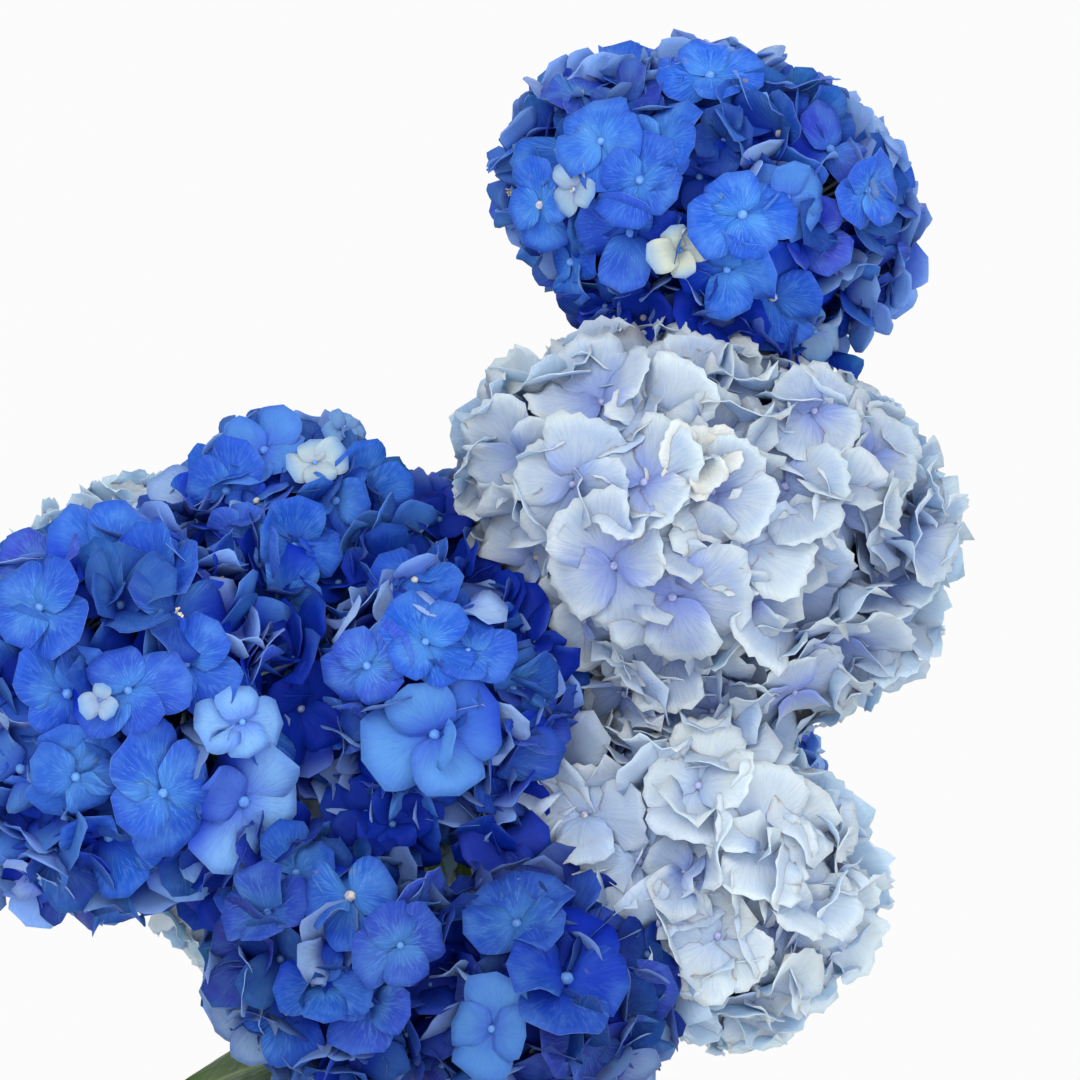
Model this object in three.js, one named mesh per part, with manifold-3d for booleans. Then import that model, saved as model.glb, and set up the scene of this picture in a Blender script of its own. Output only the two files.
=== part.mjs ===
// Hydrangeas in a vase: twelve mophead blooms, eight deep blue and four pale with fringed sepals,
// on cut stems that stand in water in a plain glazed vase.
// Millimetres, +Z up, +X to the right, -Y towards the viewer. The origin is the centre of the vase's foot.
import * as THREE from "three";
import { mergeVertices } from "three/addons/utils/BufferGeometryUtils.js";
import Module from "manifold-3d";

const wasm = await Module();
wasm.setup();

// Driving dimensions.
const vase = {
  wall: 6,
  floor: 12,
  sides: 28,
  bands: 9,
  // Height and outer radius, from the foot to the lip.
  outline: [[0, 60], [40, 76], [95, 84], [150, 75], [195, 60], [212, 58], [230, 63]],
};
const water = { level: 165, gap: 0.4, sides: 14 };
const stem = { radius: 4, sides: 5, steps: 8, intoHead: 14, belowHead: 6, footSpread: 0.9, gap: 0.4 };
const leaf = { length: 98, width: 58, stalk: 1.6, thickness: 0.9, teeth: 4, tooth: 4, arch: 0.16, fold: 0.2 };
const bloom = {
  // Shares of a head's radius: its core, the ends of the floret roots, and the middle layer of florets.
  coreShare: 0.76,
  rootShare: 0.46,
  seatShare: 0.92,
  layers: 3,
  layerStep: 6,
  lean: 0.2, // how far a floret may lean off the head's surface
  lowestAngle: 2.15, // radians from the crown to the lowest florets
  pressing: 14, // how sharply a head flattens against its neighbours
  margin: 0.6, // from a head's surface to the plane that it shares with a neighbour
  trim: 0.2, // from that plane to the nearest floret
};
// Where a head is pressed in to less than a share of its free radius, no floret grows. Facing the bouquet's
// middle, where nobody sees it, a slight pressing is enough.
const hidden = { share: 0.7, middle: [10, 0, 380], facing: 0.75, facingShare: 0.93 };
// Each kind of floret: its radius from middle to sepal tip, the patch of head that it covers, its thickness in
// the middle, its stalk's radius, how far its sepals droop and twist, and the outer end of a sepal as pairs of
// degrees from the sepal's rib and share of its length.
const florets = {
  blue: { radius: 30, patch: 2520, middle: 3, stalk: 2.4, lift: [-0.26, -0.04], twist: 0.08,
    sepalEnd: [[-27, 0.92], [25, 0.97]] },
  pale: { radius: 35, patch: 3300, middle: 3, stalk: 2.6, lift: [-0.26, -0.06], twist: 0.06,
    sepalEnd: [[-31, 0.93], [-9, 0.82], [11, 1.03], [33, 0.85]] },
};
const sepals = { count: 4, notch: 0.3, sizeVaries: 0.1, turnVaries: 4 };
const colours = { blue: 0x2f5fd6, pale: 0xb9cdec, green: 0x5f7f3a, glaze: 0xf2f1ec, water: 0xcfdde0 };

// Each head: its middle, its half sizes across, front to back and along the crown's axis, and its crown's way.
const heads = {
  blue_top: { kind: "blue", at: [98, 30, 600], half: [95, 84, 74], crown: [0.34, -0.12, 0.93] },
  pale_large: { kind: "pale", at: [90, -15, 466], half: [114, 92, 92], crown: [0.34, -0.32, 0.88] },
  pale_low: { kind: "pale", at: [78, -30, 322], half: [86, 78, 84], crown: [0.4, -0.4, 0.82] },
  blue_upper_left: { kind: "blue", at: [-80, 4, 454], half: [68, 66, 62], crown: [0.3, -0.24, 0.92] },
  blue_left: { kind: "blue", at: [-146, -66, 394], half: [86, 84, 92], crown: [-0.5, -0.42, 0.76] },
  blue_middle: { kind: "blue", at: [-22, -52, 388], half: [60, 60, 78], crown: [0.02, -0.5, 0.86] },
  blue_low_left: { kind: "blue", at: [-51, -86, 298], half: [60, 62, 68], crown: [-0.3, -0.62, 0.72] },
  blue_low_right: { kind: "blue", at: [22, -96, 282], half: [54, 56, 60], crown: [0.16, -0.74, 0.65] },
  pale_back_left: { kind: "pale", at: [-152, 84, 408], half: [72, 72, 74], crown: [-0.46, 0.42, 0.78] },
  blue_back_middle: { kind: "blue", at: [-10, 66, 416], half: [68, 64, 68], crown: [-0.05, 0.3, 0.95] },
  blue_back_right: { kind: "blue", at: [74, 88, 344], half: [74, 68, 76], crown: [0.36, 0.56, 0.75] },
  pale_back_low: { kind: "pale", at: [-74, 78, 316], half: [72, 68, 70], crown: [-0.38, 0.5, 0.78] },
};

// Each head's stem: where it stands in the vase, and what it passes on its way up from the vase's neck.
const stemPaths = {
  blue_top: { foot: [18, 24], via: [[14, 34, 240], [18, 47, 335], [44, 70, 412], [66, 82, 470], [72, 66, 516]] },
  pale_large: { foot: [30, 2], via: [[23, 8, 235], [25, 20, 320], [44, 18, 372]] },
  pale_low: { foot: [38, -20], via: [[33, -12, 228]] },
  blue_upper_left: { foot: [-18, 4], via: [[-17, 4, 235], [-44, 18, 340]] },
  blue_left: { foot: [-36, -10], via: [[-33, -10, 235], [-82, -24, 300]] },
  blue_middle: { foot: [-6, -14], via: [[-8, -14, 235], [-14, -14, 300]] },
  blue_low_left: { foot: [-22, -34], via: [[-19, -30, 226]] },
  blue_low_right: { foot: [10, -40], via: [[9, -36, 224]] },
  pale_back_left: { foot: [-32, 16], via: [[-32, 12, 235], [-72, 8, 312], [-94, 36, 350]] },
  blue_back_middle: { foot: [-4, 20], via: [[-4, 26, 235], [-6, 40, 310]] },
  blue_back_right: { foot: [28, 36], via: [[30, 36, 230]] },
  pale_back_low: { foot: [-20, 38], via: [[-26, 34, 228]] },
};

// Leaves left on the stems: which stem, at which of its steps, the way the blade points, and its size.
const leaves = [
  { on: "blue_top", step: 7, points: [0.72, 0.62, 0.18], size: 0.8 },
  { on: "blue_top", step: 7, points: [-0.5, 0.84, 0.16], size: 0.72 },
  { on: "blue_left", step: 5, points: [-0.97, 0.24, -0.16], size: 1 },
  { on: "blue_back_middle", step: 5, points: [-0.2, 0.97, -0.1], size: 1 },
  { on: "pale_low", step: 7, points: [0.86, 0.5, -0.06], size: 1 },
];

const vector = (values) => new THREE.Vector3(...values);

// Repeatable random numbers from 0 to 1.
function randomFrom(seed) {
  let state = seed >>> 0;
  return () => {
    state = (state + 0x6d2b79f5) >>> 0;
    let mixed = Math.imul(state ^ (state >>> 15), 1 | state);
    mixed = (mixed + Math.imul(mixed ^ (mixed >>> 7), 61 | mixed)) ^ mixed;
    return ((mixed ^ (mixed >>> 14)) >>> 0) / 4294967296;
  };
}

// A closed geometry as a solid that can be joined and cut.
function solidOf(geometry) {
  const bare = geometry.index ? geometry.toNonIndexed() : geometry.clone();
  bare.deleteAttribute("normal");
  bare.deleteAttribute("uv");
  const merged = mergeVertices(bare, 1e-3);
  const corners = merged.index.array;
  const kept = [];
  for (let i = 0; i < corners.length; i += 3) {
    const [a, b, c] = [corners[i], corners[i + 1], corners[i + 2]];
    if (a !== b && b !== c && c !== a) kept.push(a, b, c);
  }
  const vertProperties = merged.attributes.position.array;
  return new wasm.Manifold(new wasm.Mesh({ numProp: 3, vertProperties, triVerts: new Uint32Array(kept) }));
}

// A solid as a geometry with flat faces.
function geometryOf(solid) {
  const mesh = solid.getMesh();
  const points = new Float32Array(mesh.numVert * 3);
  for (let i = 0; i < mesh.numVert; i++) {
    for (let axis = 0; axis < 3; axis++) points[3 * i + axis] = mesh.vertProperties[mesh.numProp * i + axis];
  }
  const geometry = new THREE.BufferGeometry();
  geometry.setAttribute("position", new THREE.BufferAttribute(points, 3));
  geometry.setIndex(new THREE.BufferAttribute(mesh.triVerts, 1));
  const flat = geometry.toNonIndexed();
  flat.computeVertexNormals();
  return flat;
}

// A geometry from a list of triangles, each three points.
function geometryFrom(triangles) {
  const points = triangles.flat().flatMap((p) => [p.x, p.y, p.z]);
  return new THREE.BufferGeometry().setAttribute("position", new THREE.Float32BufferAttribute(points, 3));
}

// The one body of a solid that holds most of it: trimming can leave loose scraps of petal.
function largestBody(solid) {
  return solid.decompose().sort((a, b) => b.volume() - a.volume())[0];
}

// The vase's walls in profile, radius and height. The floor meets the inner wall in a sloped corner.
const outlinePoints = vase.outline.map(([height, radius]) => new THREE.Vector2(radius, height));
const vaseCurve = new THREE.SplineCurve(outlinePoints);
const outerWall = vaseCurve.getPoints(vase.bands);
const innerWall = outerWall
  .filter(({ y }) => y > vase.floor + vase.wall)
  .map(({ x, y }) => new THREE.Vector2(x - vase.wall, y));
const floorEdge = new THREE.Vector2(innerWall[0].x - 1.5 * vase.wall, vase.floor);

// A solid turned round the vase's axis from its profile, a list of points from radius and height.
function turned(profile, sides) {
  return new THREE.LatheGeometry(profile, sides).rotateX(Math.PI / 2);
}

function makeVase() {
  const inwards = [...innerWall].reverse();
  const [bottom, floor] = [new THREE.Vector2(0, 0), new THREE.Vector2(0, vase.floor)];
  return turned([bottom, ...outerWall, ...inwards, floorEdge, floor], vase.sides);
}

// The water fills the inside of the vase, and each stem stands in a plain hole in it.
function makeWater(stems) {
  const wet = innerWall.filter(({ y }) => y < water.level);
  const [below, above] = [wet[wet.length - 1], innerWall[wet.length]];
  const atSurface = below.clone().lerp(above, (water.level - below.y) / (above.y - below.y));
  const side = [floorEdge, ...wet, atSurface].map(({ x, y }) => new THREE.Vector2(x - water.gap, y));
  side[0].add(new THREE.Vector2(-water.gap, water.gap));
  const [bottom, top] = [new THREE.Vector2(0, side[0].y), new THREE.Vector2(0, water.level)];
  let body = solidOf(turned([bottom, ...side, top], water.sides));
  for (const route of Object.values(stems)) body = body.subtract(channelAlong(route));
  return body;
}

// A head's own axes: across, towards the back, and out through the crown.
function axesOf(head) {
  const crown = vector(head.crown).normalize();
  const across = new THREE.Vector3(1, 0, 0).addScaledVector(crown, -crown.x).normalize();
  const back = new THREE.Vector3().crossVectors(crown, across);
  return { across, back, crown };
}

function ellipsoidRadius(head, direction) {
  const { across, back, crown } = axesOf(head);
  const parts = [across, back, crown].map((axis, i) => direction.dot(axis) / head.half[i]);
  return 1 / Math.hypot(...parts);
}

// The planes where a head meets the others, each between the two middles in the ratio of their radii.
function planesOf(name) {
  const head = heads[name];
  return Object.keys(heads).filter((other) => other !== name).map((other) => {
    const towards = vector(heads[other].at).sub(vector(head.at));
    const apart = towards.length();
    const normal = towards.normalize();
    const own = ellipsoidRadius(head, normal);
    const theirs = ellipsoidRadius(heads[other], normal);
    return { normal, distance: (apart * own) / (own + theirs) };
  });
}

const planes = Object.fromEntries(Object.keys(heads).map((name) => [name, planesOf(name)]));

// A head's radius in a direction: an ellipsoid, pressed smoothly against the planes that it shares.
function headRadius(name, direction) {
  let sum = ellipsoidRadius(heads[name], direction) ** -bloom.pressing;
  for (const { normal, distance } of planes[name]) {
    const towards = direction.dot(normal);
    if (towards > 0) sum += ((distance - bloom.margin) / towards) ** -bloom.pressing;
  }
  return sum ** (-1 / bloom.pressing);
}

function pointOn(name, direction, share) {
  return vector(heads[name].at).addScaledVector(direction, headRadius(name, direction) * share);
}

// The way out of a head's surface, from two points a little aside of the one asked for.
function normalOn(name, direction) {
  const side = new THREE.Vector3(direction.y, -direction.x, 0.3).cross(direction).normalize();
  const other = new THREE.Vector3().crossVectors(direction, side);
  const here = pointOn(name, direction, 1);
  const [first, second] = [side, other].map((aside) => {
    const near = direction.clone().addScaledVector(aside, 0.08).normalize();
    return pointOn(name, near, 1).sub(here);
  });
  return first.cross(second).normalize();
}

// The middle of a head, that its florets stand out of.
function makeCore(name) {
  const ball = new THREE.IcosahedronGeometry(1, 0);
  const points = ball.attributes.position;
  for (let i = 0; i < points.count; i++) {
    const at = pointOn(name, new THREE.Vector3().fromBufferAttribute(points, i).normalize(), bloom.coreShare);
    points.setXYZ(i, at.x, at.y, at.z);
  }
  return solidOf(ball);
}

// A floret's outline, round its own middle: for each sepal a notch and then the sepal's outer end.
function floretOutline(form, radius, random) {
  const outline = [];
  const wedge = 360 / sepals.count;
  for (let sepal = 0; sepal < sepals.count; sepal++) {
    const rib = sepal * wedge + (2 * random() - 1) * sepals.turnVaries;
    const lift = THREE.MathUtils.lerp(...form.lift, random());
    const twist = (2 * random() - 1) * form.twist;
    const length = radius * (1 + (2 * random() - 1) * sepals.sizeVaries);
    outline.push({ angle: (sepal - 0.5) * wedge, radius: radius * sepals.notch, rise: 0 });
    for (const [turn, share] of form.sepalEnd) {
      outline.push({ angle: rib + turn, radius: length * share, rise: lift + (twist * turn) / 30 });
    }
  }
  return outline;
}

// One floret: a blade with four sepals, thickest in its middle, on a three-sided stalk sunk in the core.
function makeFloret(form, radius, seat, normal, depth, random) {
  const outline = floretOutline(form, radius, random);
  const start = new THREE.Vector3(random() - 0.5, random() - 0.5, random() - 0.5);
  const across = start.addScaledVector(normal, -start.dot(normal)).normalize();
  const back = new THREE.Vector3().crossVectors(normal, across);
  const place = (angle, reach, height) => seat.clone()
    .addScaledVector(across, reach * Math.cos(THREE.MathUtils.degToRad(angle)))
    .addScaledVector(back, reach * Math.sin(THREE.MathUtils.degToRad(angle)))
    .addScaledVector(normal, height);
  const rim = outline.map((point) => place(point.angle, point.radius, point.radius * point.rise));
  const stalk = [-45, 75, 195].map((angle) => place(angle, form.stalk, -form.middle));
  const root = place(0, 0, -depth);
  const triangles = [];
  const stalkAt = (i) => stalk[Math.floor((i * 3) / rim.length) % 3];
  rim.forEach((point, i) => {
    const next = rim[(i + 1) % rim.length];
    triangles.push([seat, point, next], [next, point, stalkAt(i)]);
    if (stalkAt(i) !== stalkAt(i + 1)) triangles.push([next, stalkAt(i), stalkAt(i + 1)]);
  });
  stalk.forEach((point, i) => triangles.push([point, root, stalk[(i + 1) % 3]]));
  return solidOf(geometryFrom(triangles));
}

// The ways that a head's florets face, evenly spread from the crown down to the lowest ring.
function floretDirections(name, count, random) {
  const { across, back, crown } = axesOf(heads[name]);
  const lowest = Math.cos(bloom.lowestAngle);
  const goldenAngle = Math.PI * (3 - Math.sqrt(5));
  return Array.from({ length: count }, (unused, i) => {
    const upwards = 1 - ((1 - lowest) * (i + 0.5)) / count;
    const level = Math.sqrt(1 - upwards * upwards);
    const turn = i * goldenAngle + (random() - 0.5) * 0.2;
    return new THREE.Vector3()
      .addScaledVector(across, level * Math.cos(turn))
      .addScaledVector(back, level * Math.sin(turn))
      .addScaledVector(crown, upwards);
  });
}

function meanRadius(head) {
  return (head.half[0] + head.half[1] + head.half[2]) / 3;
}

function floretCount(name) {
  const covered = 2 * Math.PI * meanRadius(heads[name]) ** 2 * (1 - Math.cos(bloom.lowestAngle));
  return Math.round(covered / florets[heads[name].kind].patch);
}

// Whether a floret would only be pressed flat between two heads.
function isHidden(name, direction) {
  const share = headRadius(name, direction) / ellipsoidRadius(heads[name], direction);
  const inwards = vector(hidden.middle).sub(vector(heads[name].at)).normalize();
  return share < (direction.dot(inwards) > hidden.facing ? hidden.facingShare : hidden.share);
}

// A whole head: the core and its florets in one body, kept on its own side of the planes it shares.
function makeHead(name, seed) {
  const random = randomFrom(seed);
  const head = heads[name];
  const form = florets[head.kind];
  const pieces = [makeCore(name)];
  floretDirections(name, floretCount(name), random).forEach((direction, i) => {
    if (isHidden(name, direction)) return;
    const radius = headRadius(name, direction);
    const layer = (i % bloom.layers) - 1;
    const out = radius * bloom.seatShare + layer * bloom.layerStep;
    const seat = vector(head.at).addScaledVector(direction, out);
    const leaning = new THREE.Vector3(random() - 0.5, random() - 0.5, random() - 0.5);
    const normal = normalOn(name, direction).addScaledVector(leaning, bloom.lean).normalize();
    const size = (form.radius * radius) / meanRadius(head);
    pieces.push(makeFloret(form, size, seat, normal, out - radius * bloom.rootShare, random));
  });
  let whole = wasm.Manifold.union(pieces);
  for (const { normal, distance } of planes[name]) {
    const offset = normal.dot(vector(head.at)) + distance - bloom.trim;
    whole = whole.trimByPlane(normal.clone().negate().toArray(), -offset);
  }
  return whole;
}

// Where a stem ends inside its head, below the core's middle.
function stemTip(name) {
  const down = vector(heads[name].crown).normalize().negate();
  const reach = headRadius(name, down) * bloom.coreShare;
  return {
    entry: vector(heads[name].at).addScaledVector(down, reach + stem.belowHead),
    tip: vector(heads[name].at).addScaledVector(down, reach - stem.intoHead),
  };
}

// A stem's route: up from the vase's floor, through the neck, past its neighbours and into its head.
function stemRoute(name) {
  const { foot, via } = stemPaths[name];
  const { entry, tip } = stemTip(name);
  const standing = new THREE.Vector3(foot[0], foot[1], 0).multiplyScalar(stem.footSpread).setZ(vase.floor);
  const atWater = new THREE.Vector3(foot[0], foot[1], water.level);
  const points = [standing, atWater, ...via.map(vector), entry, tip];
  return new THREE.CatmullRomCurve3(points, false, "centripetal");
}

// A tube along a route, with straight stretches between its steps.
function tubeAlong(route, radius) {
  const corners = Array.from({ length: stem.sides }, (unused, i) => {
    const turn = (i / stem.sides) * 2 * Math.PI;
    return new THREE.Vector2(radius * Math.cos(turn), radius * Math.sin(turn));
  });
  const settings = { steps: stem.steps, bevelEnabled: false, extrudePath: route };
  return solidOf(new THREE.ExtrudeGeometry(new THREE.Shape(corners), settings));
}

// The plain hole that a stem lies in, clear of it all round and a little past its ends.
function channelAlong(route) {
  return tubeAlong(route, stem.radius + stem.gap);
}

// A leaf blade with a toothed edge, folded up a little along its rib and arched along its length.
function makeLeaf({ step, points: pointing, size }, route) {
  const root = route.getPointAt(step / stem.steps);
  const lengthways = vector(pointing).normalize();
  const sideways = new THREE.Vector3().crossVectors(new THREE.Vector3(0, 0, 1), lengthways).normalize();
  const upwards = new THREE.Vector3().crossVectors(lengthways, sideways);
  const place = (x, y, z) => root.clone()
    .addScaledVector(lengthways, x * size)
    .addScaledVector(sideways, y * size)
    .addScaledVector(upwards, z * size);
  const stations = leaf.teeth * 2;
  const thick = leaf.thickness / size / 2;
  const sections = [];
  for (let i = 0; i <= stations; i++) {
    const along = i / stations;
    const notch = i % 2 ? 0 : leaf.tooth;
    const broad = (leaf.width / 2) * Math.sin(Math.PI * along ** 0.8) ** 0.8;
    const half = Math.max(broad - notch, leaf.stalk);
    const rise = leaf.arch * leaf.length * (along - 1.5 * along * along);
    const across = [[-half, rise + half * leaf.fold], [0, rise], [half, rise + half * leaf.fold]];
    const upper = across.map(([y, z]) => place(along * leaf.length, y, z + thick));
    const lower = across.map(([y, z]) => place(along * leaf.length, y, z - thick));
    sections.push([...upper, ...lower.reverse()]);
  }
  const triangles = [];
  for (let i = 0; i < stations; i++) {
    for (let k = 0; k < 6; k++) {
      const [a, b] = [sections[i][k], sections[i + 1][k]];
      const [d, c] = [sections[i][(k + 1) % 6], sections[i + 1][(k + 1) % 6]];
      // The upper and the lower face are split along the same diagonals.
      if (k < 3) triangles.push([a, b, c], [a, c, d]);
      else triangles.push([a, b, d], [b, c, d]);
    }
  }
  for (let k = 1; k < 5; k++) {
    const [first, last] = [sections[0], sections[stations]];
    triangles.push([first[0], first[k], first[k + 1]], [last[0], last[k + 1], last[k]]);
  }
  return solidOf(geometryFrom(triangles));
}

function makeStem(name, route) {
  const tipwards = route.getTangentAt(1);
  const tip = tipwards.dot(route.getPointAt(1)) - stem.gap;
  const tube = tubeAlong(route, stem.radius)
    .trimByPlane(tipwards.negate().toArray(), -tip)
    .trimByPlane([0, 0, 1], vase.floor + stem.gap);
  const grown = leaves.filter((each) => each.on === name).map((each) => makeLeaf(each, route));
  return wasm.Manifold.union([tube, ...grown]);
}

function material(colour, roughness) {
  return new THREE.MeshStandardMaterial({ color: colour, roughness, metalness: 0, flatShading: true });
}

const bouquet = new THREE.Group();
function addPiece(name, geometry, finish) {
  const mesh = new THREE.Mesh(geometry, finish);
  mesh.name = name;
  bouquet.add(mesh);
}

const routes = Object.fromEntries(Object.keys(heads).map((name) => [name, stemRoute(name)]));
const petalFinish = { blue: material(colours.blue, 0.6), pale: material(colours.pale, 0.65) };
const stemFinish = material(colours.green, 0.55);

addPiece("vase", makeVase(), material(colours.glaze, 0.2));
addPiece("water", geometryOf(makeWater(routes)), material(colours.water, 0.05));

// A stem passes between florets, so every head leaves a plain channel for each stem that comes near it.
const channels = Object.values(routes).map(channelAlong);
Object.keys(heads).forEach((name, i) => {
  let head = makeHead(name, 101 + i * 17);
  for (const channel of channels) head = head.subtract(channel);
  addPiece("head_" + name, geometryOf(largestBody(head)), petalFinish[heads[name].kind]);
  addPiece("stem_" + name, geometryOf(makeStem(name, routes[name])), stemFinish);
});

export default bouquet;
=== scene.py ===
import math
import random

import bmesh
import bpy
import numpy
from mathutils import Matrix, Vector, noise
from mathutils.bvhtree import BVHTree


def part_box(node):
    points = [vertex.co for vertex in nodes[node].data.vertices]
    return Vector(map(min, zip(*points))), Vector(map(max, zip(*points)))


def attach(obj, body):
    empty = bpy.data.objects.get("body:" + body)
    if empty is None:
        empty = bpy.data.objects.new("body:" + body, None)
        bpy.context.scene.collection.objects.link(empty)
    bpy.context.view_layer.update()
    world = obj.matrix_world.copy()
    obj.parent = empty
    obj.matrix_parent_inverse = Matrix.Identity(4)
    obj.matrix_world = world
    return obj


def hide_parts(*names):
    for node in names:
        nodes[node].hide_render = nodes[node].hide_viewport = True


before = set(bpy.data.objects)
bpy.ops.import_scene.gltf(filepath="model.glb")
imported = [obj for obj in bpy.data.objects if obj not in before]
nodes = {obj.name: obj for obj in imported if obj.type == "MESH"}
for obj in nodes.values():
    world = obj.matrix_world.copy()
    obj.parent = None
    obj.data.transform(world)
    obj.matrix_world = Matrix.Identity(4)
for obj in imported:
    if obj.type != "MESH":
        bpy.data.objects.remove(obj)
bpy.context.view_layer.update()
mm = 0.001
up = Vector((0, 0, 1))
print("frame loaded:", len(nodes), "nodes")

# how the photograph looks at the bouquet
photoView = {"target": Vector((25.2, 0, 461.4)) * mm, "distance": 1.6,
             "elevation": math.radians(3), "frame": 453.6 * mm, "pixels": 1080}
viewBack = Vector((0, -math.cos(photoView["elevation"]), math.sin(photoView["elevation"])))
viewRight = Vector((1, 0, 0))
viewUp = viewBack.cross(viewRight)
viewPoint = photoView["target"] + viewBack * photoView["distance"]


def sightLine(x, y):
    # the direction from the camera through a pixel of the photograph
    pixel = photoView["frame"] / photoView["pixels"]
    middle = photoView["pixels"] / 2
    aim = photoView["target"] + viewRight * (x - middle) * pixel + viewUp * (middle - y) * pixel
    return (aim - viewPoint).normalized()


def linear(hexText):
    # "#RRGGBB" as linear light, with a full alpha
    parts = [int(hexText[i:i + 2], 16) / 255 for i in (1, 3, 5)]
    light = [p / 12.92 if p <= 0.04045 else ((p + 0.055) / 1.055) ** 2.4 for p in parts]
    return (*light, 1.0)


def facing(direction, roll=0.0):
    # a turn that takes +Z to the direction, after a roll about +Z
    turn = direction.to_track_quat("Z", "Y").to_matrix().to_4x4()
    return turn @ Matrix.Rotation(roll, 4, "Z")


def goldenDirections(count, axis):
    # evenly spread directions, those near the axis first
    turn = facing(axis)
    golden = math.pi * (3 - math.sqrt(5))
    for step in range(count):
        height = 1 - 2 * (step + 0.5) / count
        flat = math.sqrt(1 - height * height)
        angle = golden * step
        yield turn @ Vector((flat * math.cos(angle), flat * math.sin(angle), height))


def linked(name, data):
    # a new object in the scene
    made = bpy.data.objects.new(name, data)
    bpy.context.scene.collection.objects.link(made)
    return made


def finishedPiece(name, bm, materials, slotName, standsFor):
    mesh = bpy.data.meshes.new(name)
    bm.to_mesh(mesh)
    bm.free()
    for material in materials:
        mesh.materials.append(material)
    mesh.shade_smooth()
    piece = linked(name, mesh)
    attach(piece, "root")
    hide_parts(*standsFor)


def giveMaterial(verts, number):
    # to the faces at these vertices
    for face in {face for vert in verts for face in vert.link_faces}:
        face.material_index = number


def mergedCopy(node):
    # a bmesh of a node's solid with its loose triangles joined
    bm = bmesh.new()
    bm.from_mesh(nodes[node].data)
    bmesh.ops.remove_doubles(bm, verts=bm.verts, dist=0.02 * mm)
    return bm


def hullOf(node, leftEnd=None):
    # a node's convex hull, cut off on the left where an end is given
    bm = mergedCopy(node)
    if leftEnd is not None:
        geometry = bm.verts[:] + bm.edges[:] + bm.faces[:]
        bmesh.ops.bisect_plane(bm, geom=geometry, plane_co=(leftEnd, 0, 0),
                               plane_no=(-1, 0, 0), clear_outer=True)
    made = bmesh.ops.convex_hull(bm, input=bm.verts)
    inner = set(made["geom_interior"]) | set(made["geom_unused"])
    bmesh.ops.delete(bm, geom=[v for v in inner if isinstance(v, bmesh.types.BMVert)],
                     context="VERTS")
    return bm


class NodeTree:
    # a material's nodes, added and wired by name; a colour may be given as "#RRGGBB"
    def __init__(self, name):
        self.material = bpy.data.materials.new(name)
        self.material.use_nodes = True
        self.nodes = self.material.node_tree.nodes
        self.shader = self.nodes["Principled BSDF"]

    def add(self, kind, settings=None, **inputs):
        # an input goes by its name, or by its number as in0, in1; returns the outputs
        node = self.nodes.new(kind)
        for key, value in (settings or {}).items():
            setattr(node, key, value)
        for key, value in inputs.items():
            self.put(node.inputs[int(key[2:]) if key.startswith("in") else key], value)
        return node.outputs

    def put(self, socket, value):
        if isinstance(value, bpy.types.NodeSocket):
            self.material.node_tree.links.new(value, socket)
        else:
            socket.default_value = linear(value) if isinstance(value, str) else value

    def set(self, **inputs):
        for key, value in inputs.items():
            self.put(self.shader.inputs[key.replace("_", " ")], value)

    def math(self, operation, a, b=0.0):
        return self.add("ShaderNodeMath", {"operation": operation}, in0=a, in1=b)[0]

    def times(self, a, b):
        return self.math("MULTIPLY", a, b)

    def range(self, value, low, high, toLow=0.0, toHigh=1.0):
        return self.add("ShaderNodeMapRange", {"interpolation_type": "SMOOTHSTEP"},
                        in0=value, in1=low, in2=high, in3=toLow, in4=toHigh)[0]

    def mix(self, share, a, b):
        return self.add("ShaderNodeMix", {"data_type": "RGBA"}, in0=share, in6=a, in7=b)[2]

    def lit(self, colour, light):
        return self.add("ShaderNodeHueSaturation", Color=colour, Value=light)[0]

    def attribute(self, name):
        found = self.add("ShaderNodeAttribute", {"attribute_name": name})["Vector"]
        return self.add("ShaderNodeSeparateXYZ", in0=found)

    def position(self):
        return self.add("ShaderNodeTexCoord")["Object"]

    def noise(self, vector, scale, detail=2.0, roughness=0.5):
        return self.add("ShaderNodeTexNoise", in0=vector, Scale=scale, Detail=detail,
                        Roughness=roughness)[0]

    def bump(self, height, distance, strength):
        self.set(Normal=self.add("ShaderNodeBump", Height=height, Strength=strength,
                                 Distance=distance)[0])


fanAngle = 1.3    # the veins fan out this far to each side of a sepal's middle, radians
# in both petal looks, deep is painted shade: the darker colour that petals lying deep in a head
# take, up to its share
bluePetal = {
    "main": "#1b50b6", "sky": "#5a92d0", "violet": "#3a42b0", "vein": "#6ea6ea",
    "heart": "#4588d2", "skyHeart": "#3a55cc", "margin": "#2c4cb0", "under": "#7f9fe2",
    "silver": "#9cbbea", "deep": "#0429b8", "young": "#d6dfb4", "tan": "#8a7a5e",
    "deepShare": 0.9, "veinShare": 0.42, "heartShare": 0.5, "marginShare": 0.35,
    "tanAbove": 0.77, "sheen": 0.0, "gloss": 0.08, "through": 0.35, "relief": 0.2 * mm,
}
palePetal = {
    "main": "#a9bbd6", "sky": "#c0cfda", "violet": "#9cafda", "vein": "#7c8cda",
    "heart": "#7388e0", "skyHeart": "#a4bcec", "margin": "#c8d6e0", "under": "#b4c7e4",
    "silver": "#cad6e0", "deep": "#86a6e8", "young": "#dde2b8", "tan": "#b0a584",
    "deepShare": 0.32, "veinShare": 0.4, "heartShare": 0.7, "marginShare": 0.8,
    "tanAbove": 0.78, "sheen": 0.02, "gloss": 0.06, "through": 0.6, "relief": 0.35 * mm,
}
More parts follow.
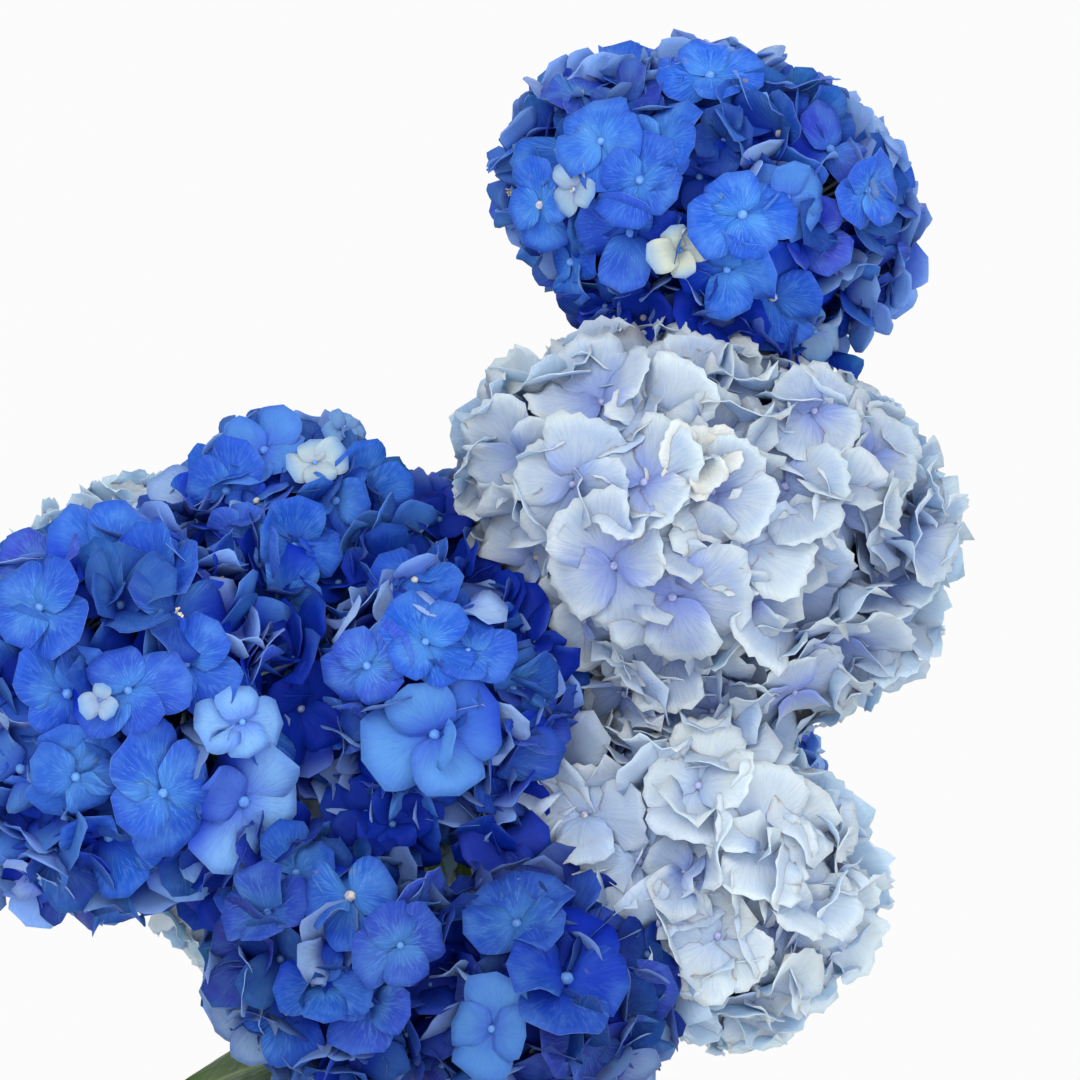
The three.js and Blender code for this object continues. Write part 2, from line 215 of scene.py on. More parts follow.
# where each marking begins and is full: by hue, by the way from claw 0 to tip 1, or by noise
petalMarks = {
    "skyHue": (0.45, 1.0), "violetHue": (0.4, 0.0), "silverHue": (1.0, 1.3),
    "paleHue": (0.5, 0.75), "heart": (0.6, 0.06), "young": (1.25, 0.45),
    "marginAlong": (0.2, 0.5), "marginOut": (0.5, 1.0), "veinWidth": 0.05,
    "veinFade": (0.95, 0.15, 0.2, 1.0), "mottleScale": 70.0, "mottle": (0.42, 0.72, 0.0, 0.4),
    "rough": (0.3, 0.7, 0.5, 0.64), "spotScale": 160.0, "spotFull": 0.86, "spotShare": 0.6,
    "underShare": 0.8, "scatter": 2.0 * mm, "scatterColour": (0.5, 0.75, 1.0),
}


def petalMaterial(name, look):
    # attribute "petal" is (across, along, underside) and "tint" is (hue, light, young); light is
    # partly tone that differs at random and partly painted light and shade; young below 0 is how
    # deep the place lies in the head, and gives the petal painted shade
    marks = petalMarks
    tree = NodeTree(name)
    across, along, under = tree.attribute("petal")
    hue, light, young = tree.attribute("tint")
    place = tree.position()
    fan = tree.add("ShaderNodeCombineXYZ", in0=tree.times(across, 8.0),
                   in1=tree.times(along, 0.9), in2=tree.times(hue, 40.0))[0]
    ridge = tree.math("SUBTRACT", tree.noise(fan, 1.5, 2.0, 0.6), 0.5)
    veins = tree.range(tree.math("ABSOLUTE", ridge), marks["veinWidth"], 0.0)
    ground = tree.mix(tree.range(hue, *marks["skyHue"]), look["main"], look["sky"])
    ground = tree.mix(tree.range(hue, *marks["violetHue"]), ground, look["violet"])
    mottle = tree.noise(place, marks["mottleScale"], 3.0)
    ground = tree.mix(tree.range(mottle, *marks["mottle"]), ground, look["sky"])
    # silvery florets: a paler colour, partly a real tone and partly painted highlight
    ground = tree.mix(tree.range(hue, *marks["silverHue"]), ground, look["silver"])
    # how far out a place lies on the sepal's round, 1 at its rim
    doubled = tree.times(along, 2.0)
    discX = tree.times(doubled, tree.math("TANGENT", tree.times(across, fanAngle)))
    discY = tree.math("SUBTRACT", doubled, 1.0)
    squares = tree.math("ADD", tree.times(discX, discX), tree.times(discY, discY))
    edge = tree.times(tree.range(tree.math("SQRT", squares), *marks["marginOut"]),
                      tree.range(along, *marks["marginAlong"]))
    ground = tree.mix(tree.times(edge, look["marginShare"]), ground, look["margin"])
    pale = tree.range(hue, *marks["paleHue"])
    heart = tree.range(along, *marks["heart"], 0.0, look["heartShare"])
    ground = tree.mix(heart, ground, tree.mix(pale, look["heart"], look["skyHeart"]))
    veinMask = tree.times(tree.times(veins, tree.range(along, *marks["veinFade"])),
                          look["veinShare"])
    ground = tree.mix(veinMask, ground, tree.mix(pale, look["vein"], look["skyHeart"]))
    ground = tree.mix(tree.times(under, marks["underShare"]), ground, look["under"])
    youth = tree.times(tree.math("MAXIMUM", young, 0.0), tree.range(along, *marks["young"]))
    ground = tree.mix(youth, ground, look["young"])
    # painted shade: the deeper a petal lies in the head, the more it takes the deep colour
    deep = tree.range(young, 0.0, -1.0, 0.0, look["deepShare"])
    ground = tree.mix(deep, ground, look["deep"])
    spots = tree.range(tree.noise(place, marks["spotScale"], 1.0), look["tanAbove"],
                       marks["spotFull"], 0.0, marks["spotShare"])
    ground = tree.mix(spots, ground, look["tan"])
    # light scales the colour, partly as tone that differs at random and partly as painted light
    # and shade
    tree.set(Base_Color=tree.lit(ground, light), Roughness=tree.range(mottle, *marks["rough"]),
             Specular_IOR_Level=look["gloss"], Sheen_Weight=look["sheen"], Sheen_Roughness=0.5,
             Subsurface_Weight=look["through"], Subsurface_Radius=marks["scatterColour"],
             Subsurface_Scale=marks["scatter"])
    grain = tree.noise(place, 900.0, 1.0)
    relief = tree.math("ADD", tree.times(veins, -0.4), tree.times(grain, 0.3))
    relief = tree.math("ADD", relief, tree.times(tree.noise(fan, 0.9), 2.0))
    tree.bump(relief, look["relief"], 0.7)
    return tree.material


budLook = {"blue": "#5f96dc", "pale": "#a9b0d8", "seam": "#4a66c0", "cream": "#d9cfae",
           "creamFrom": (0.84, 0.92)}


def budMaterial(name, base):
    tree = NodeTree(name)
    place = tree.position()
    hue, light, _ = tree.attribute("tint")
    patch = tree.range(tree.noise(place, 500.0), 0.4, 0.7)
    # whole florets have cream buds, picked by the last digits of their hue
    creamy = tree.range(tree.math("FRACT", tree.times(hue, 37.0)), *budLook["creamFrom"])
    colour = tree.mix(tree.times(creamy, 0.8), base, budLook["cream"])
    colour = tree.mix(tree.times(patch, 0.6), colour, budLook["seam"])
    # the floret's light scales the bud's colour too: partly painted light and shade
    tree.set(Base_Color=tree.lit(colour, light), Roughness=tree.range(patch, 0.0, 1.0, 0.5, 0.66),
             Specular_IOR_Level=0.3, Subsurface_Weight=0.1, Subsurface_Scale=1.0 * mm)
    tree.bump(tree.noise(place, 1500.0, 1.0), 0.05 * mm, 0.5)
    return tree.material


creamLook = {"light": "#f3ecd0", "dark": "#d8cc9a"}


def creamMaterial():
    tree = NodeTree("stamenCream")
    grain = tree.noise(tree.position(), 2500.0, 1.0)
    tree.set(Base_Color=tree.mix(grain, creamLook["light"], creamLook["dark"]),
             Roughness=tree.range(grain, 0.0, 1.0, 0.5, 0.75))
    tree.bump(grain, 0.05 * mm, 0.6)
    return tree.material


stalkLook = {"green": "#5d7a34", "stem": "#4c6630", "pale": "#8fa552", "blue": "#5b6fae",
             "dot": "#4a2f2a", "dots": (0.7, 0.76, 0.0, 0.55), "streaks": (0.45, 0.75, 0.0, 0.5)}


def stalkMaterial(name, first, second):
    tree = NodeTree(name)
    place = tree.position()
    stretched = tree.add("ShaderNodeMapping", in0=place, Scale=(1.0, 1.0, 0.12))[0]
    grain = tree.noise(stretched, 700.0, 3.0)
    patch = tree.range(tree.noise(place, 45.0), 0.35, 0.7)
    colour = tree.mix(patch, stalkLook[first], stalkLook[second])
    colour = tree.mix(tree.range(grain, *stalkLook["streaks"]), colour, stalkLook["pale"])
    dots = tree.range(tree.noise(place, 800.0, 0.0), *stalkLook["dots"])
    tree.set(Base_Color=tree.mix(dots, colour, stalkLook["dot"]),
             Roughness=tree.range(grain, 0.3, 0.7, 0.42, 0.6))
    tree.bump(grain, 0.12 * mm, 0.6)
    return tree.material


leafLook = {"deep": "#2c4a1e", "mid": "#48692a", "cell": "#5f7f38", "vein": "#8fa760",
            "under": "#7f9667"}


def leafMaterial():
    # attribute "blade" is (across, along, underside), "ribs" is the nearness to a vein
    tree = NodeTree("leafGreen")
    under = tree.attribute("blade")[2]
    rib = tree.attribute("ribs")[0]
    place = tree.position()
    cells = tree.noise(place, 260.0, 4.0)
    patch = tree.range(tree.noise(place, 30.0), 0.35, 0.68)
    colour = tree.mix(patch, leafLook["deep"], leafLook["mid"])
    colour = tree.mix(tree.range(cells, 0.5, 0.75, 0.0, 0.35), colour, leafLook["cell"])
    colour = tree.mix(tree.times(rib, 0.75), colour, leafLook["vein"])
    colour = tree.mix(tree.times(under, 0.8), colour, leafLook["under"])
    tree.set(Base_Color=colour, Roughness=tree.range(cells, 0.3, 0.7, 0.36, 0.52),
             Subsurface_Weight=0.06, Subsurface_Scale=1.5 * mm)
    tree.bump(cells, 0.25 * mm, 0.6)
    return tree.material


glazeLook = {"white": "#dfddd8", "warm": "#d8d4ca", "clay": "#b9a98f", "pin": "#8d8270",
             "pins": (0.79, 0.83, 0.0, 0.45), "bareFoot": 1.2 * mm}


def glazeMaterial():
    look = glazeLook
    tree = NodeTree("whiteGlaze")
    place = tree.position()
    cloud = tree.noise(place, 16.0, 3.0)
    colour = tree.mix(tree.range(cloud, 0.35, 0.7), look["white"], look["warm"])
    pins = tree.range(tree.noise(place, 420.0, 0.0), *look["pins"])
    colour = tree.mix(pins, colour, look["pin"])
    height = tree.add("ShaderNodeSeparateXYZ", in0=place)[2]
    foot = tree.range(height, 2 * look["bareFoot"], look["bareFoot"])
    gloss = tree.math("ADD", tree.range(cloud, 0.3, 0.7, 0.1, 0.2), tree.times(foot, 0.55))
    tree.set(Base_Color=tree.mix(foot, colour, look["clay"]), Roughness=gloss,
             Coat_Weight=0.5, Coat_Roughness=0.06)
    # faint throwing rings, and dents
    rings = tree.add("ShaderNodeCombineXYZ", in2=tree.times(height, 8.0))[0]
    relief = tree.math("ADD", tree.noise(rings, 22.0), tree.noise(place, 35.0, 1.0))
    tree.bump(relief, 0.5 * mm, 0.35)
    return tree.material


waterLook = {"deep": "#cfdedd", "clear": "#e4efec"}


def waterMaterial():
    tree = NodeTree("clearWater")
    ripple = tree.noise(tree.position(), 90.0)
    tree.set(Base_Color=tree.mix(ripple, waterLook["deep"], waterLook["clear"]),
             Roughness=0.03, IOR=1.33, Transmission_Weight=0.9)
    tree.bump(ripple, 0.3 * mm, 0.3)
    return tree.material


petalBlue = petalMaterial("petalBlue", bluePetal)
petalPale = petalMaterial("petalPale", palePetal)
budBlue = budMaterial("budBlue", budLook["blue"])
budPale = budMaterial("budPale", budLook["pale"])
stamenCream = creamMaterial()
pedicelBlue = stalkMaterial("pedicelBlue", "blue", "green")
stemGreen = stalkMaterial("stemGreen", "green", "stem")
leafGreen = leafMaterial()
print("materials made")


# angles in radians, and shares of a sepal's length or half width
blueFloret = {
    "across": 6, "along": 6, "length": 17.4 * mm, "halfWidth": 11.0 * mm,
    "flare": 0.12, "square": 0.28, "point": 0.07, "open": (-0.1, 0.65), "differ": 0.3,
    "curl": (-0.36, 0.28), "trough": (-0.3, 0.45), "folded": 0.18, "wave": (0.03, 0.1),
    "waves": (0.7, 1.3), "teeth": 0.0, "crumple": 1.8 * mm, "pairs": (1.1, 0.9),
    "lap": 1.1 * mm, "thickness": 0.34 * mm, "sepalCounts": (4, 4, 4, 4, 4, 5, 4, 3),
    "openBuds": 0.15, "variants": 24, "seeds": (11, 29, 37),
}
paleFloret = {
    "across": 8, "along": 7, "length": 25.5 * mm, "halfWidth": 15.2 * mm,
    "flare": 0.2, "square": 0.2, "point": 0.0, "open": (-0.05, 0.6), "differ": 0.26,
    "curl": (-0.3, 0.15), "trough": (-0.2, 0.3), "folded": 0.16, "wave": (0.05, 0.12),
    "waves": (1.2, 2.4), "teeth": 0.055, "crumple": 2.8 * mm, "pairs": (1.08, 0.9),
    "lap": 1.3 * mm, "thickness": 0.38 * mm, "sepalCounts": (4, 4, 4, 5, 4, 4),
    "openBuds": 0.1, "variants": 18, "seeds": (23, 31, 41),
}
# on both kinds; a folded sepal's trough is deeper, and the upper pair opens less
floretForm = {"sizes": (0.92, 1.08), "foldedTrough": 0.7, "skew": 0.12, "toothFrom": 0.2,
              "toothDepths": (0.5, 1.2), "turns": 0.12, "tilts": 0.24, "pairLift": 0.13,
              "claw": 0.5 * mm}
waveTurn = 6.28    # radians in one wave of a rim


def shapeSepal(verts, kind, draw, petal, size, opening):
    # bends a flat grid from -1 to 1 into one sepal with its claw at the origin
    form = floretForm
    long = kind["length"] * size * draw.uniform(*form["sizes"])
    half = kind["halfWidth"] * size * draw.uniform(*form["sizes"])
    rise = math.tan(opening + draw.uniform(-1, 1) * kind["differ"])
    curl = draw.uniform(*kind["curl"])
    trough = draw.uniform(*kind["trough"])
    if draw.random() < kind["folded"]:
        trough += form["foldedTrough"]
    wave = draw.uniform(*kind["wave"])
    waves = draw.uniform(*kind["waves"])
    phases = {-1: draw.uniform(0, waveTurn), 1: draw.uniform(0, waveTurn)}
    skew = draw.uniform(-form["skew"], form["skew"])
    place = Vector((draw.uniform(0, 90), draw.uniform(0, 90), 0))
    for vert in verts:
        u, v = vert.co.x, vert.co.y
        # a square grid made round, or a little less than round
        disc = 0.5 - 0.5 * kind["square"]
        x = u * math.sqrt(1 - disc * v * v)
        y = v * math.sqrt(1 - disc * u * u)
        along = (y + 1) / 2
        vert[petal] = Vector((math.atan2(x, y + 1) / fanAngle, along, 0))
        width = half * x * (1 + kind["flare"] * y)
        away = long * along
        away += long * kind["point"] * max(0, 1 - 2.5 * abs(x)) * along ** 4
        onRim = max(abs(u), abs(v)) > 0.99
        if onRim and kind["teeth"] and along > form["toothFrom"]:
            step = round((u + 1) * kind["across"] / 2) + round((v + 1) * kind["along"] / 2)
            notch = 1 - kind["teeth"] * (step % 2) * draw.uniform(*form["toothDepths"])
            width *= notch
            away *= 1 + (notch - 1) * along
        # its rise and curl, the trough along its middle, waves on its rim, and crumpling
        side = 1 if x >= 0 else -1
        rim = abs(x) ** 1.6 * min(1, along * 1.6)
        tipRim = max(0, along - 0.6) / 0.4
        height = away * rise + long * curl * along ** 2.2
        height += half * trough * x * x * math.sin(math.pi * min(1, along * 1.1))
        height += long * wave * rim * math.sin(waveTurn * waves * along + phases[side])
        height += long * wave * 0.7 * tipRim * math.sin(3 * x * waves + phases[1])
        height += kind["crumple"] * along * noise.noise(place + Vector((x * 0.9, y * 0.7, 0)))
        vert.co = Vector((width + skew * away * along, away, height))


def thickened(bm, verts, thickness, layer):
    # gives a sheet its thickness, and marks the underside
    before = set(bm.verts)
    faces = list({face for vert in verts for face in vert.link_faces})
    bmesh.ops.solidify(bm, geom=faces, thickness=thickness)
    back = [vert for vert in bm.verts if vert not in before]
    for vert in back:
        vert[layer].z = 1
    return verts + back


def addSepal(bm, kind, draw, turn, petal, size, opening):
    verts = bmesh.ops.create_grid(bm, x_segments=kind["across"], y_segments=kind["along"],
                                  size=1)["verts"]
    shapeSepal(verts, kind, draw, petal, size, opening)
    verts = thickened(bm, verts, kind["thickness"], petal)
    bmesh.ops.transform(bm, matrix=turn, verts=verts)


# a bud is round and closed, or low and open with stamens
budForm = {"radius": 2.0 * mm, "sizes": (0.85, 1.12), "heights": (0.82, 0.45), "rise": 0.55,
           "stamens": 7, "leans": (0.15, 0.55), "lengths": (1.4, 2.2)}


def addBud(bm, kind, draw):
    form = budForm
    size = form["radius"] * draw.uniform(*form["sizes"])
    isOpen = draw.random() < kind["openBuds"]
    made = bmesh.ops.create_uvsphere(bm, u_segments=7, v_segments=4, radius=size)["verts"]
    for vert in made:
        seam = 0.93 + 0.07 * abs(math.cos(2 * math.atan2(vert.co.y, vert.co.x)))
        vert.co.x *= seam
        vert.co.y *= seam
        vert.co.z = vert.co.z * form["heights"][isOpen] + size * form["rise"]
    giveMaterial(made, 1)
    for step in range(form["stamens"] if isOpen else 0):
        lean = draw.uniform(*form["leans"])
        turn = Matrix.Rotation(step * 0.9 + draw.uniform(-0.2, 0.2), 4, "Z")
        turn = turn @ Matrix.Rotation(lean, 4, "X")
        length = draw.uniform(*form["lengths"]) * size
        rod = bmesh.ops.create_cone(bm, cap_ends=True, segments=3, radius1=0.12 * size,
                                    radius2=0.1 * size, depth=length,
                                    matrix=turn @ Matrix.Translation((0, 0, length / 2)))
        head = bmesh.ops.create_icosphere(bm, subdivisions=1, radius=0.24 * size,
                                          matrix=turn @ Matrix.Translation((0, 0, length)))
        giveMaterial(rod["verts"] + head["verts"], 2)


def floretVariants(name, kind, seed):
    # florets with their axis along +Z and heart at the origin, each with its rim's places
    form = floretForm
    draw = random.Random(seed)
    made = []
    for number in range(kind["variants"]):
        bm = bmesh.new()
        petal = bm.verts.layers.float_vector.new("petal")
        count = kind["sepalCounts"][number % len(kind["sepalCounts"])]
        start = draw.uniform(0, 1.5)
        opening = draw.uniform(*kind["open"])
        for step in range(count):
            isUpper = step % 2
            angle = start + 2 * math.pi * step / count
            angle += draw.uniform(-form["turns"], form["turns"])
            turn = Matrix.Rotation(angle, 4, "Z")
            turn = turn @ Matrix.Translation((0, form["claw"], kind["lap"] * isUpper))
            turn = turn @ Matrix.Rotation(draw.uniform(-form["tilts"], form["tilts"]), 4, "Y")
            addSepal(bm, kind, draw, turn, petal, kind["pairs"][isUpper],
                     opening + form["pairLift"] * isUpper)
        rim = [vert.co.copy() for vert in bm.verts
               if vert[petal].y > 0.6 and vert[petal].z == 0]
        addBud(bm, kind, draw)
        mesh = bpy.data.meshes.new(f"{name}{number}")
        bm.to_mesh(mesh)
        bm.free()
        made.append((mesh, rim))
    print(name, "florets made:", len(made), "of", len(made[0][0].polygons), "faces")
    return made


innerForm = {"across": 4, "along": 4, "openBuds": 0.0, "variants": 12}
flatForm = {"open": (-0.05, 0.34), "differ": 0.18, "curl": (-0.26, 0.06), "folded": 0.04,
            "trough": (-0.3, 0.24), "sepalCounts": (4,), "openBuds": 0.0, "variants": 8}


def floretSets(name, kind):
    # outer florets, coarse inner ones, and flat ones for those seen full face
    changes = {"variants": {}, "inner": innerForm, "flat": flatForm}
    return {key: floretVariants(f"{name}_{key}", {**kind, **change}, seed)
            for (key, change), seed in zip(changes.items(), kind["seeds"])}


headForm = {
    "directions": 1500, "lowest": 2.8, "innerLowest": 2.6,
    # seats are eased apart; these are shares of the spacing
    "closest": 0.88, "pushes": 14, "pushReach": 1.2, "push": 0.3,
    # how deep the outer florets' hearts lie, and how far a sepal's tip may stand out
    "seat": 2.5 * mm, "proud": 4.5 * mm, "shownProud": 8 * mm,
    "shade": (4 * mm, 17 * mm),    # painted shade: petals this deep take the deeper colour
    "lean": (0.3, 0.45, 0.8), "shownLean": 0.26, "innerLean": 0.5,
    "cupped": 0.4,                 # share of the full-face florets that aren't flat
    "silver": (0.12, 1.25),        # share of silvery florets, and their hue; their paler colour is partly a real tone and partly painted highlight
    "sizes": (0.88, 1.1), "innerSizes": (0.7, 0.85), "seamSizes": (0.75, 0.95),
    # where two heads come this close, florets fill the seam
    "seamTries": 160, "seamReach": 34 * mm, "seamSpacing": 15 * mm,
    # the branches that the florets' stalks start from
    "joints": 16, "jointShare": 0.5, "jointsTo": 2.2,
    "branch": (1.95 * mm, 1.5 * mm), "pedicel": (0.9 * mm, 0.75 * mm),
    # a floret with heads this deep on all sides is left out
    "hiddenDepth": 22 * mm, "feelers": 26, "nearHead": 160 * mm,
}
headKinds = {
    "blue": {**floretSets("blue", blueFloret), "spacing": 22.5 * mm, "layerStep": 4.4 * mm,
             "innerDepth": 15 * mm, "innerShare": 0.7, "slot": "petals_blue",
             "materials": [petalBlue, budBlue, stamenCream, pedicelBlue]},
    "pale": {**floretSets("pale", paleFloret), "spacing": 31 * mm, "layerStep": 2.6 * mm,
             "innerDepth": 10 * mm, "innerShare": 0.9, "slot": "petals_pale",
             "materials": [petalPale, budPale, stamenCream, pedicelBlue]},
}
# size is that of the florets; hue runs from violet 0 through royal 0.4 to sky 1; what the
# photograph shows is given by its pixels: shown are florets seen full face, as x, y, size
# and hue; young are cream ones, with how cream; gaps are dark, with their reach in mm
# each head's light scales its florets' colour: partly tone that differs at random, partly painted
# light and shade; the low heads' lower light is painted shade
heads = {
    "blue_top": {
        "size": 0.96, "hue": (0.05, 0.75), "light": (0.62, 1.15),
        "shown": [(603, 143, 1.08, 0.55), (660, 142, 1.0, 0.45), (549, 143, 0.95, 0.4),
                  (617, 238, 1.15, 0.25), (742, 215, 1.1, 0.4), (710, 74, 1.05, 0.45),
                  (730, 276, 1.05, 0.45), (783, 312, 1.1, 0.35), (640, 180, 1.0, 0.3),
                  (790, 198, 0.85, 0.75), (540, 205, 0.95, 0.35), (870, 190, 0.9, 0.3)],
        "young": [(678, 254, 0.62, 0.75), (579, 190, 0.6, 0.3), (820, 338, 0.7, 0.2)],
        "gaps": [(782, 243, 15), (688, 341, 10)],
    },
    "pale_large": {
        "size": 1.0, "hue": (0.2, 0.8), "light": (0.78, 0.91),
        "shown": [(585, 383, 1.12, 0.5), (818, 598, 1.25, 0.3), (605, 570, 1.05, 0.5),
                  (672, 600, 1.1, 0.2), (560, 480, 1.0, 0.6), (712, 488, 0.95, 0.4),
                  (800, 480, 1.0, 0.6), (655, 410, 0.95, 0.7), (820, 405, 0.9, 0.3),
                  (640, 480, 0.95, 0.4), (745, 545, 1.0, 0.7), (590, 690, 0.85, 0.6)],
        "young": [(700, 455, 0.6, 0.3)], "leftEnd": -8 * mm,
    },
    "pale_low": {
        "size": 1.0, "hue": (0.5, 1.0), "light": (0.88, 1.0), "seamsWithBlue": True,
        "shown": [(627, 858, 1.2, 0.8), (768, 832, 1.05, 0.7), (722, 945, 1.0, 0.8),
                  (560, 800, 0.95, 0.7), (700, 770, 1.0, 0.9), (820, 900, 0.9, 0.7)],
        "gaps": [(765, 912, 9)],
    },
    "blue_upper_left": {
        "size": 0.9, "hue": (0.1, 0.8), "light": (0.55, 1.1),
        "shown": [(293, 548, 1.05, 0.4), (246, 540, 0.9, 0.2), (285, 603, 0.95, 0.4),
                  (214, 480, 1.05, 0.3), (262, 440, 1.0, 0.75), (410, 535, 1.05, 0.7),
                  (385, 480, 0.95, 0.35)],
        "young": [(315, 463, 0.65, 0.45), (342, 433, 0.45, 0.1)], "gaps": [(238, 574, 22)],
    },
    "blue_left": {
        "size": 1.12, "hue": (0.1, 0.8), "light": (0.6, 1.12),
        "shown": [(162, 793, 1.3, 0.3), (38, 605, 1.15, 0.3), (113, 525, 1.3, 0.55),
                  (238, 722, 0.9, 1.1), (200, 655, 1.1, 0.3), (262, 812, 1.25, 1.1),
                  (198, 880, 1.2, 1.12), (130, 690, 1.1, 0.25), (60, 690, 1.1, 0.3)],
        "young": [(100, 700, 0.4, 0.3)], "gaps": [(108, 790, 8), (238, 574, 18)],
    },
    "blue_middle": {
        "size": 1.0, "hue": (0.1, 0.6), "light": (0.6, 1.05),
        "shown": [(433, 742, 1.4, 0.85), (436, 738, 1.0, 0.9), (363, 664, 0.95, 0.2),
                  (425, 642, 1.0, 0.4), (470, 650, 0.9, 0.3), (425, 840, 1.0, 0.4)],
    },
    # painted shade: the two low heads take a lower light
    "blue_low_left": {
        "size": 0.98, "hue": (0.05, 0.65), "light": (0.42, 0.84),
        "shown": [(352, 892, 1.15, 0.35), (322, 990, 0.95, 0.5), (400, 945, 0.95, 0.2),
                  (255, 905, 0.9, 0.2), (290, 860, 0.9, 0.5), (380, 1015, 1.0, 0.2)],
    },
    "blue_low_right": {
        "size": 1.12, "hue": (0.0, 0.4), "light": (0.38, 0.76),
        "shown": [(575, 968, 1.4, 0.3), (513, 912, 1.15, 0.3), (490, 1030, 1.0, 0.8)],
    },
    "pale_back_left": {"size": 0.95, "hue": (0.3, 0.8), "light": (0.8, 0.95)},
    "blue_back_middle": {"size": 0.95, "hue": (0.0, 0.4), "light": (0.65, 0.9)},
    "blue_back_right": {"size": 1.0, "hue": (0.1, 0.6), "light": (0.85, 1.05)},
    "pale_back_low": {"size": 0.95, "hue": (0.3, 0.9), "light": (0.8, 0.95)},
}
hulls = {name: BVHTree.FromBMesh(hullOf("head_" + name, look.get("leftEnd")))
         for name, look in heads.items()}
centres = {name: sum(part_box("head_" + name), Vector()) / 2 for name in heads}


def isInside(name, point):
    near, normal, _, _ = hulls[name].find_nearest(point)
    return (point - near).dot(normal) < 0


def stemTip(name):
    centre = centres[name]
    return min((v.co for v in nodes["stem_" + name].data.vertices),
               key=lambda co: (co - centre).length).copy()


def surface(name, direction):
    spot, normal, _, _ = hulls[name].ray_cast(centres[name], direction)
    return spot, normal


def scattered(draw, spread):
    return Vector([draw.gauss(0, spread) for _ in range(3)])


def seatsOf(name, spacing, crown):
    # spots spread evenly over the head's surface, short of the stem
    found = []
    closest = spacing * headForm["closest"]
    for direction in goldenDirections(headForm["directions"], crown):
        if direction.angle(crown) > headForm["lowest"]:
            break
        spot, _ = surface(name, direction)
        if all((spot - other).length > closest for other in found):
            found.append(spot)
    reach = spacing * headForm["pushReach"]
    for _ in range(headForm["pushes"]):
        eased = []
        for spot in found:
            push = Vector()
            for other in found:
                gap = spot - other
                if 0 < gap.length < reach:
                    push += gap.normalized() * (1 - gap.length / reach)
            moved = spot + push * spacing * headForm["push"]
            eased.append(surface(name, moved - centres[name])[0])
        found = [new or old for new, old in zip(eased, found)]
    return found


def isHidden(spot):
    # closed over by the heads on all sides
    near = [name for name in heads if (centres[name] - spot).length < headForm["nearHead"]]
    for direction in goldenDirections(headForm["feelers"], up):
        if not any(isInside(name, spot + direction * headForm["hiddenDepth"]) for name in near):
            return False
    return True


filledSeams = []


def seamsOf(name):
    # places midway between this head and others, each with the way out
    found = []
    for direction in goldenDirections(headForm["seamTries"], up):
        spot, _ = surface(name, direction)
        for other in heads:
            leftOut = name.startswith("pale") and other.startswith("blue")
            if other == name or leftOut and "seamsWithBlue" not in heads[name]:
                continue
            near, _, _, _ = hulls[other].find_nearest(spot, headForm["seamReach"])
            if near is None or isInside(other, spot):
                continue
            middle = (spot + near) / 2
            along = (centres[other] - centres[name]).normalized()
            offset = middle - centres[name]
            outward = (offset - along * offset.dot(along)).normalized()
            if any((middle - old).length < headForm["seamSpacing"] for old in filledSeams):
                continue
            if not isHidden(middle):
                filledSeams.append(middle)
                found.append((middle, outward))
    return found


def tuckedIn(name, rim, spot, turn, normal, proud):
    # moves a floret's heart inwards until its rim stands out no further than it may
    out = 0.0
    for co in rim:
        tip = spot + turn @ co
        near, facingOut, _, _ = hulls[name].find_nearest(tip)
        out = max(out, (tip - near).dot(facingOut))
    return spot - normal * max(0, out - proud)


def addFloret(bm, name, choice, draw, spot, normal, axis, depth, size, tint):
    # returns where its heart is
    mesh, rim = choice
    turn = facing(axis, draw.uniform(0, 2 * math.pi)) @ Matrix.Scale(size, 4)
    proud = headForm["shownProud" if depth < 0 else "proud"]
    heart = tuckedIn(name, rim, spot - normal * depth, turn, normal, proud)
    copy = mesh.copy()
    copy.transform(Matrix.Translation(heart) @ turn)
    # painted shade: its tint is the deeper, the further each place lies below the spot
    count = len(copy.vertices)
    places = numpy.empty(count * 3, "f")
    copy.vertices.foreach_get("co", places)
    below = (numpy.array(spot) - places.reshape(count, 3)) @ numpy.array(normal)
    low, high = headForm["shade"]
    tints = numpy.tile(numpy.array(tint, "f"), (count, 1))
    tints[:, 2] -= numpy.clip((below - low) / (high - low), 0, 1)
    layer = copy.attributes.new("tint", "FLOAT_VECTOR", "POINT")
    layer.data.foreach_set("vector", tints.ravel())
    bm.from_mesh(copy)
    bpy.data.meshes.remove(copy)
    return heart


def addStalk(bm, start, end, radii, sides):
    gap = end - start
    place = Matrix.Translation((start + end) / 2) @ facing(gap.normalized())
    made = bmesh.ops.create_cone(bm, cap_ends=True, segments=sides, radius1=radii[0],
                                 radius2=radii[1], depth=gap.length, matrix=place)
    giveMaterial(made["verts"], 3)


def seenSpots(name, key):
    # where sight lines through the photograph's pixels meet the head
    found = []
    for x, y, *rest in heads[name].get(key, []):
        spot = hulls[name].ray_cast(viewPoint, sightLine(x, y))[0]
        if spot:
            found.append((spot, *rest))
    return found


